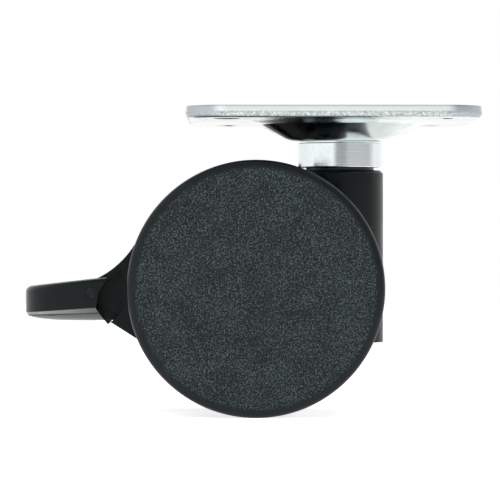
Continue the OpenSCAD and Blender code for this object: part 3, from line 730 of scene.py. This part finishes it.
bm = bmesh.new()
t, topEdge, lowEdge, deburr = (plate[key] for key in ("thickness", "topEdge", "lowEdge", "deburr"))
edgeProfile = [(topEdge * (1 - math.sin(a)), -topEdge * (1 - math.cos(a))) for a in quarter]
edgeProfile += [(lowEdge * (1 - math.cos(a)), -t + lowEdge * (1 - math.sin(a))) for a in quarter]
outer = [squareRing(bm, inset, z) for inset, z in edgeProfile]
joinRings(bm, outer)
edgeCount = len(bm.faces)
tops, bottoms = [outer[0]], [outer[-1]]
holeR = screws["hole_r_mm"]
wall = [(holeR + deburr, 0), (holeR, -deburr), (holeR, deburr - t), (holeR + deburr, -t)]
for sx in (-1, 1):
    for sy in (-1, 1):
        x, y = sx * screws["spacing_x_mm"] / 2, sy * screws["spacing_y_mm"] / 2
        rings = [roundRing(bm, x, y, radius, z, plate["holeSteps"]) for radius, z in wall]
        joinRings(bm, rings)
        tops.append(rings[0])
        bottoms.append(rings[-1])
dish = [roundRing(bm, swivelX, 0, radius, z, plate["dishSteps"]) for radius, z in dishProfile()]
joinRings(bm, dish)
tops.append(dish[0])
bottoms.append(dish[-1])
for loops in (tops, bottoms):
    edges = [bm.edges.get((ring[i - 1], ring[i])) for ring in loops for i in range(len(ring))]
    bmesh.ops.triangle_fill(bm, use_beauty=True, edges=edges, normal=(0, 0, 1))
plateObj = toObject("top_plate_piece", bm)
finishPiece(plateObj, "plate", [sheetZinc, edgeZinc], ["top_plate"])
# the faces of the edge came first, and the last two rows of its lower rounding shine like the sheet
for face in plateObj.data.polygons[:edgeCount - 2 * len(outer[0])]:
    face.material_index = 1


# swivel stem: riveted head, collar and shank with a groove for its snap ring

snapLo, snapHi = boxMm("stem_snap_ring")
stem = {
    "rivetR": 6.2, "rivetEdge": 1.3, "seat": -3.9, "shoulderR": 6.6, "shoulderLow": -6.6, "collarR": 8.35,
    "collarLow": -11.5, "collarEdge": 0.2, "fillet": 0.2, "shankR": 5.5, "shankBevel": 0.8, "grooveR": 4.8,
}
section = roundedPath([
    (0, stemHi.z, 0), (stem["rivetR"], stemHi.z, stem["rivetEdge"]),
    (stem["rivetR"], stem["seat"], stem["fillet"]), (plate["spigotR"], stem["seat"], 0),
    (plate["spigotR"], plateLo.z, 0), (stem["shoulderR"], plateLo.z, 0),
    (stem["shoulderR"], stem["shoulderLow"], 0), (stem["collarR"], stem["shoulderLow"], stem["collarEdge"]),
    (stem["collarR"], stem["collarLow"], stem["collarEdge"]),
    (stem["shankR"], stem["collarLow"], stem["fillet"]),
    (stem["shankR"], snapHi.z, 0), (stem["grooveR"], snapHi.z, 0), (stem["grooveR"], snapLo.z, 0),
    (stem["shankR"], snapLo.z, 0), (stem["shankR"], stemLo.z, stem["shankBevel"]), (0, stemLo.z, 0)],
    steps=5)
bm = revolve(section)
bmesh.ops.translate(bm, vec=(swivelX, 0, 0), verts=bm.verts)
finishPiece(toObject("swivel_stem_piece", bm), "plate", [turnedZinc], ["swivel_stem"])


# brake pedal: half-oval band over a rounded belly, notched for the ears, with the cam on its pin

pedal = {
    "tilt": 6.3, "ahead": 6.6, "length": 20.0, "halfWidth": 13.2, "bandLow": -3.075, "bandTop": 2.675,
    "draft": 0.017, "topEdge": 1.3, "bellyDepth": 2.65,
    "tray": [(3.4, 0.5), (2.55, 0.5), (2.3, 0.4), (2.2, 0.15), (2.05, 0)],     # inset and drop, to its rim
    "seamDepth": 1.0, "seamTilt": 2.0, "seamLip": 0.08, "seamGroove": 0.12,
    "rootX": (3.1, 1.5, 1.0),                  # at the band's top, at the pin and at the band's lower edge
    "notchX": -3.1, "notchHalf": 8.2, "notchFloor": -3.0, "cutAngle": -62,
    "slotHalf": 4.2, "slotX": 0.5712, "hubR": 2.3, "hubArc": (90, -55), "boreR": 1.15,
    "camWidth": 5.2, "camR": 1.85, "camAt": (-0.5788, -3.6545), "camArc": (0, -90),
    "camSink": 0.5, "camTop": 1.4, "camLow": 0.6,     # how the cam runs into the body
    "steps": 160, "arcSteps": 20, "noseSteps": 12, "boreSteps": 64,
    "soft": 0.18, "softAngle": 45, "softRoom": 1.6,
}


def pedalRing(bm, scaleL, scaleW, z, tilt, pinch=1.0):
    # a pinch above 1 draws the ring's end to a point
    ring = []
    turn = Matrix.Rotation(-math.radians(tilt), 4, "Y")
    for k in range(pedal["steps"]):
        a = 2 * math.pi * k / pedal["steps"]
        across = math.copysign(abs(math.sin(a)) ** pinch, math.sin(a))
        flat = Vector((pedal["ahead"] + scaleL * pedal["length"] * math.cos(a),
                       scaleW * pedal["halfWidth"] * across, z))
        ring.append(bm.verts.new(turn @ flat))
    return ring


def pedalBody():
    bm = bmesh.new()
    top, low = pedal["bandTop"], pedal["bandLow"]
    rings = []

    def inset(d, z):
        rings.append(pedalRing(bm, 1 - d / pedal["length"], 1 - d / pedal["halfWidth"], z, pedal["tilt"]))

    for d, drop in pedal["tray"]:
        inset(d, top - drop)
    for a in quarter:
        inset(pedal["topEdge"] * (1 - math.sin(a)), top - pedal["topEdge"] * (1 - math.cos(a)))
    wide = 1 + pedal["draft"]
    seam, seamTilt = pedal["seamDepth"], pedal["seamTilt"]
    # from the band's lower edge to the keel: depth under the band, shares of length and width, pinch, tilt
    belly = [
        (-0.3, wide - 0.001, wide - 0.001, 1.0, 4.7),
        (-0.16, wide - 0.003, wide - 0.005, 1.0, 4.5),
        (-0.08, wide - 0.007, wide - 0.015, 1.02, 4.4),
        (0.05, 1.006, 0.965, 1.06, 4.2),
        (0.35, 1.001, 0.89, 1.18, 3.6),
        (0.65, 0.997, 0.815, 1.3, 2.9),
        (seam - pedal["seamLip"], 0.994, 0.745, 1.4, seamTilt),
        (seam, 0.988, 0.737, 1.4, seamTilt),
        (seam + pedal["seamGroove"], 0.985, 0.722, 1.4, seamTilt),
        (1.4, 0.962, 0.65, 1.36, 1.4),
        (1.75, 0.925, 0.56, 1.3, 0.8),
        (2.05, 0.867, 0.475, 1.22, 0.4),
        (2.3, 0.777, 0.40, 1.15, 0.2),
        (2.45, 0.69, 0.33, 1.1, 0.1),
        (2.52, 0.58, 0.22, 1.05, 0),
    ]
    for depth, scaleL, scaleW, pinch, ringTilt in belly:
        rings.append(pedalRing(bm, scaleL, scaleW, low - depth, ringTilt, pinch))
    joinRings(bm, rings)
    bm.faces.new(rings[0])
    bm.faces.new(rings[-1])
    return bm


def arc(x, z, radius, first, last, steps):
    angles = [math.radians(first + (last - first) * k / steps) for k in range(steps + 1)]
    return [(x + radius * math.cos(a), z + radius * math.sin(a)) for a in angles]


def camOutline():
    hub = arc(0, 0, pedal["hubR"], *pedal["hubArc"], steps=pedal["arcSteps"])
    nose = arc(*pedal["camAt"], pedal["camR"], *pedal["camArc"], steps=pedal["noseSteps"])
    inside = pedal["notchX"] - pedal["camSink"]
    lowZ = pedal["bandLow"] - pedal["bellyDepth"] + pedal["camLow"]
    return [(inside, pedal["camTop"])] + hub + nose + [(inside, lowZ)]


far = 2 * pedal["length"]
cut = math.radians(pedal["cutAngle"])
rootTop, rootPin, rootLow = pedal["rootX"]
rootCut = [(rootTop, far), (rootTop, pedal["bandTop"]), (rootPin, 0), (rootLow, pedal["bandLow"]),
           (far * math.cos(cut), far * math.sin(cut)), (far, -far), (far, far)]
obj = toObject("brake_pedal_piece", pedalBody())
combine(obj, prism(rootCut, -far, far), "DIFFERENCE")
notch = barOutline(pedal["notchX"], pedal["notchFloor"], far, far)
combine(obj, prism(notch, -pedal["notchHalf"], pedal["notchHalf"]), "DIFFERENCE")
slot = barOutline(pedal["slotX"], -far, far, far)
combine(obj, prism(slot, -pedal["slotHalf"], pedal["slotHalf"]), "DIFFERENCE")
combine(obj, prism(camOutline(), -pedal["camWidth"] / 2, pedal["camWidth"] / 2), "UNION")
bore = arc(0, 0, pedal["boreR"], 0, 360, steps=pedal["boreSteps"])[:-1]
combine(obj, prism(bore, -far, far), "DIFFERENCE")
softenEdges(obj, pedal["soft"], pedal["softAngle"], pedal["softRoom"])
obj.data.transform(Matrix.Translation((pivotX, 0, pivotZ)))
finishPiece(obj, "pedal", [glossNylon], ["brake_pedal"])


# housing and slider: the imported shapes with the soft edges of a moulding

moulding = {
    "housingEdge": 0.25, "sliderEdge": 0.15, "weld": 0.004, "flatAngle": 1.0,
    "cheek": (4.3, 6.4),          # webs under the ears, clear of the pressed pedal
    "cheekOutline": [(0.6, -1.2), (1.0, -2.15), (2.05, -2.15), (4.9, -4.13), (6.8, -5.3), (7.4, -4),
                     (7.4, -1.2)],
}


def fromFrame(node):
    bm = bmesh.new()
    bm.from_mesh(frame["nodes"][node].data)
    bmesh.ops.transform(bm, matrix=Matrix.Scale(1 / mm, 4), verts=bm.verts)
    bmesh.ops.remove_doubles(bm, verts=bm.verts, dist=moulding["weld"])
    flat = math.radians(moulding["flatAngle"])
    bmesh.ops.dissolve_limit(bm, angle_limit=flat, verts=bm.verts, edges=bm.edges)
    return bm


obj = toObject("housing_piece", fromFrame("housing"))
cheekIn, cheekOut = moulding["cheek"]
cheek = [(pivotX + x, pivotZ + z) for x, z in moulding["cheekOutline"]]
combine(obj, prism(cheek, cheekIn, cheekOut), "UNION")
combine(obj, prism(cheek, -cheekOut, -cheekIn), "UNION")
softenEdges(obj, moulding["housingEdge"])
finishPiece(obj, "swivel", [smoothNylon], ["housing"])

obj = toObject("brake_slider_piece", fromFrame("brake_slider"))
softenEdges(obj, moulding["sliderEdge"])
finishPiece(obj, "slider", [smoothNylon], ["brake_slider"])


# return spring: round wire with closed end coils, at its rest length

springLo, springHi = boxMm("return_spring")
spring = {"wire": 0.55, "turns": 6, "closedTurns": 0.8, "stepsPerTurn": 48, "wireSides": 12}


def springBody():
    bm = bmesh.new()
    wireR = spring["wire"] / 2
    coilR = (springHi.z - springLo.z) / 2 - wireR
    run = springHi.x - springLo.x - 2 * wireR
    closed = spring["closedTurns"]
    pitch = (run - 2 * closed * spring["wire"]) / (spring["turns"] - 2 * closed)
    steps = spring["turns"] * spring["stepsPerTurn"]
    rings = []
    for i in range(steps + 1):
        t = i / spring["stepsPerTurn"]
        x = min(t, closed) * spring["wire"] + max(0, t - spring["turns"] + closed) * spring["wire"]
        x += max(0, min(t, spring["turns"] - closed) - closed) * pitch
        a = 2 * math.pi * t
        ring = []
        for k in range(spring["wireSides"]):
            b = 2 * math.pi * k / spring["wireSides"]
            radius = coilR + wireR * math.cos(b)
            ring.append(bm.verts.new((springLo.x + wireR + x + wireR * math.sin(b),
                                      radius * math.cos(a), wheelZ + radius * math.sin(a))))
        rings.append(ring)
    joinRings(bm, rings)
    bm.faces.new(rings[0])
    bm.faces.new(rings[-1])
    return bm


obj = toObject("return_spring_piece", springBody())
finishPiece(obj, "swivel", [springSteel], ["return_spring"])
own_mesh(obj)


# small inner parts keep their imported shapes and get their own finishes

innerFinish = {
    "axle": turnedZinc, "axle_clip_near": springSteel, "axle_clip_far": springSteel,
    "stem_snap_ring": springSteel, "pedal_pin": springSteel, "thrust_washer": acetal, "swivel_bush": acetal,
}
for node, mat in innerFinish.items():
    for matSlot in frame["nodes"][node].material_slots:
        matSlot.material = mat
print("inner parts finished")
